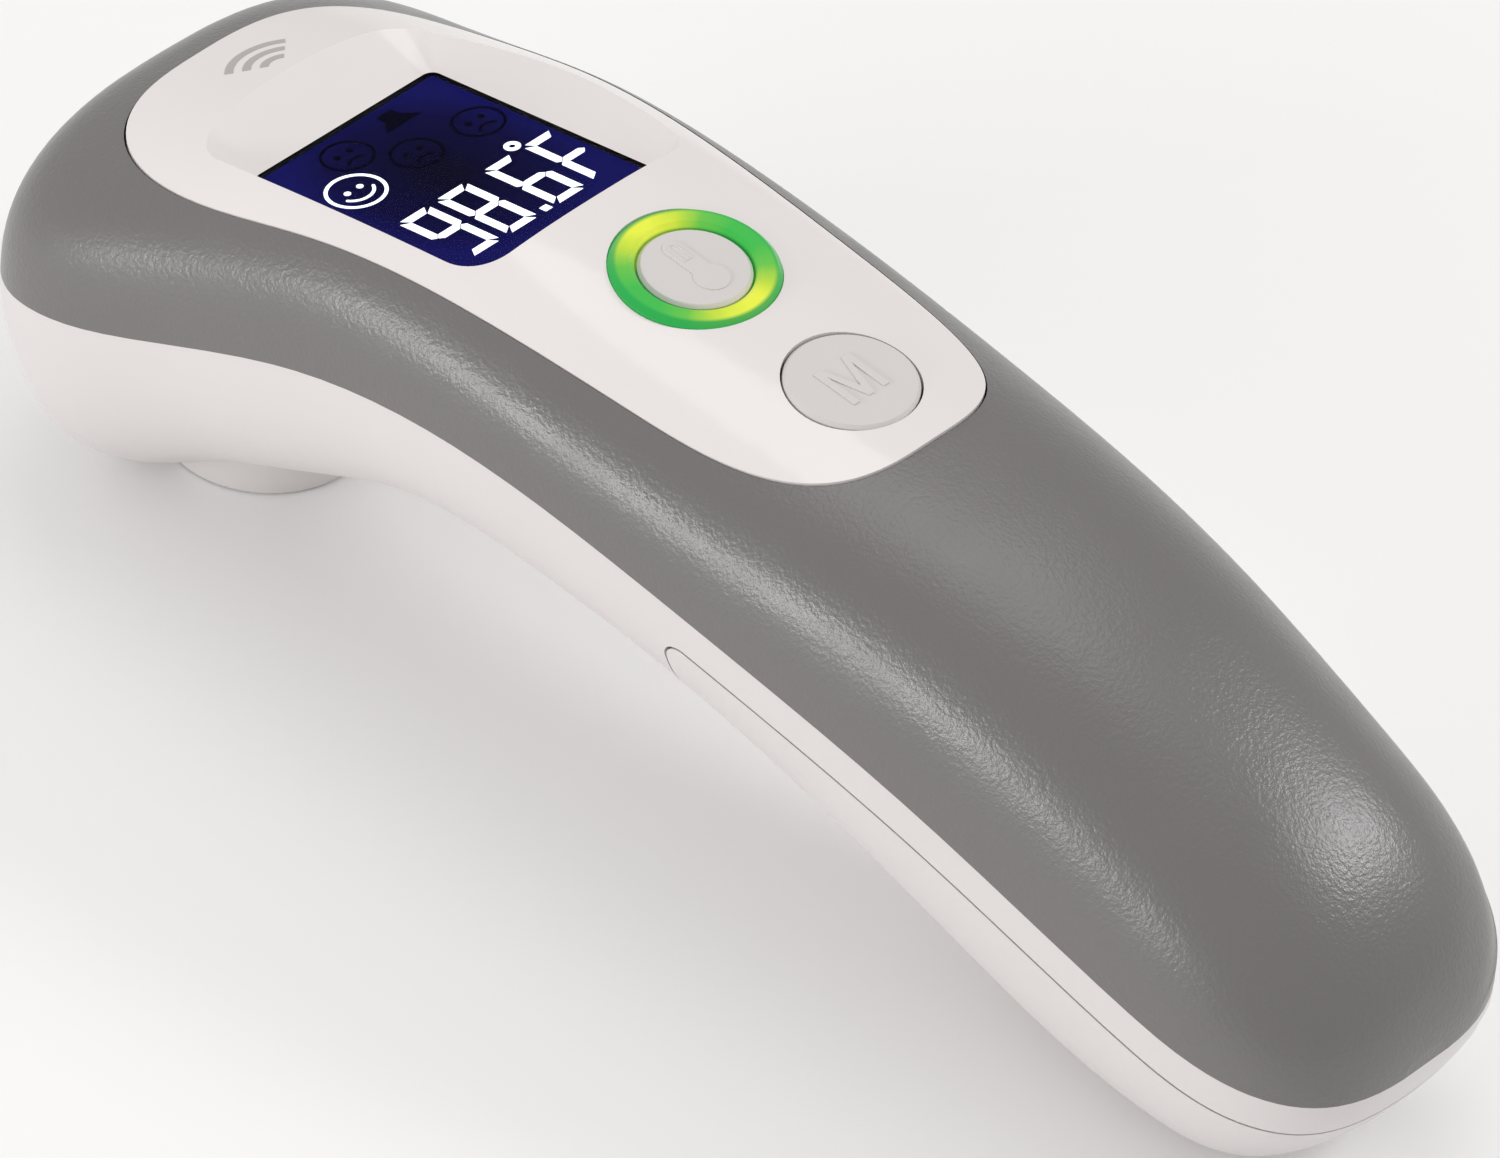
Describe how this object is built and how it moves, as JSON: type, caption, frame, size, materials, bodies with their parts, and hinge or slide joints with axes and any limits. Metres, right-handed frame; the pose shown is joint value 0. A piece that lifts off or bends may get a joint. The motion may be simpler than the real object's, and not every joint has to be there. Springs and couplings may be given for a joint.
{
  "type": "digital thermometer",
  "caption": "Stick-shaped non-contact digital thermometer: infrared sensor mouth under the head, display in a glossy face, lit ring around the measuring key, mode key, pull-off battery door",
  "frame": {"origin": "Centre of the bounding box in plan, at the level of its lowest point", "axes": "+X runs from the sensor head to the tail of the handle, +Y is to the right seen from the tail with the display up, +Z points out of the display side"},
  "size_m": [0.15, 0.048, 0.0483],
  "materials": {
    "upper_case_grey": "fine leather grain, satin",
    "case_white": "satin moulded ABS",
    "face_white": "polished moulded ABS, faintly warm white",
    "clear_window": "clear polished acrylic",
    "display_dark": "negative-mode liquid crystal cell, near black with a blue cast",
    "diffuser_white": "milky light guide",
    "gasket_black": "closed-cell foam",
    "holder_white": "moulded ABS",
    "key_grey": "satin moulded ABS",
    "ring_green": "translucent green light guide",
    "board_green": "solder mask over glass fibre",
    "chip_black": "epoxy package",
    "led_yellow": "clear resin over the die",
    "ribbon_amber": "polyimide film",
    "steel": "nickel-plated steel",
    "cell_jacket": "plain dark printed jacket",
    "sensor_gold": "polished, gold-plated reflector",
    "sensor_glass": "dark infrared filter",
    "sleeve_steel": "turned, plated"
  },
  "bodies": {
    "body": {"upper_shell": "upper_case_grey", "lower_shell": "case_white", "faceplate": "face_white", "lcd_window": "clear_window", "lcd_gasket": "gasket_black", "lcd_panel": "display_dark", "lcd_backlight": "diffuser_white", "lcd_holder": "holder_white", "display_board": "board_green", "display_driver": "chip_black", "board_ribbon": "ribbon_amber", "measure_switch": "steel", "mode_switch": "steel", "light_ring": "ring_green", "key_board": "board_green", "ring_leds": "led_yellow", "controller_chip": "chip_black", "buzzer": "chip_black", "board_screws": "steel", "battery_holder": "holder_white", "battery_1": "cell_jacket", "battery_2": "cell_jacket", "battery_springs": "steel", "battery_contacts": "steel", "case_screws": "steel", "mouth_bezel": "case_white", "probe_cone": "sensor_gold", "sensor_window": "sensor_glass", "sensor_can": "steel", "sensor_sleeve": "sleeve_steel", "sensor_board": "board_green", "sensor_ribbon": "ribbon_amber"},
    "measure_button": {"measure_button": "key_grey"},
    "mode_button": {"mode_button": "key_grey"},
    "battery_door": {"battery_door": "case_white"}
  },
  "joints": [
    {"name": "measure_press", "type": "slide", "parent": "body", "child": "measure_button", "axis": [-0.0483, 0, -0.9988], "range_m": [0, 0.0005], "stiffness_N_per_m": 1000},
    {"name": "mode_press", "type": "slide", "parent": "body", "child": "mode_button", "axis": [-0.0483, 0, -0.9988], "range_m": [0, 0.0005], "stiffness_N_per_m": 1000},
    {"name": "door_slide", "type": "slide", "parent": "body", "child": "battery_door", "axis": [0.9511, 0, -0.309], "range_m": [0, 0.09]}
  ]
}
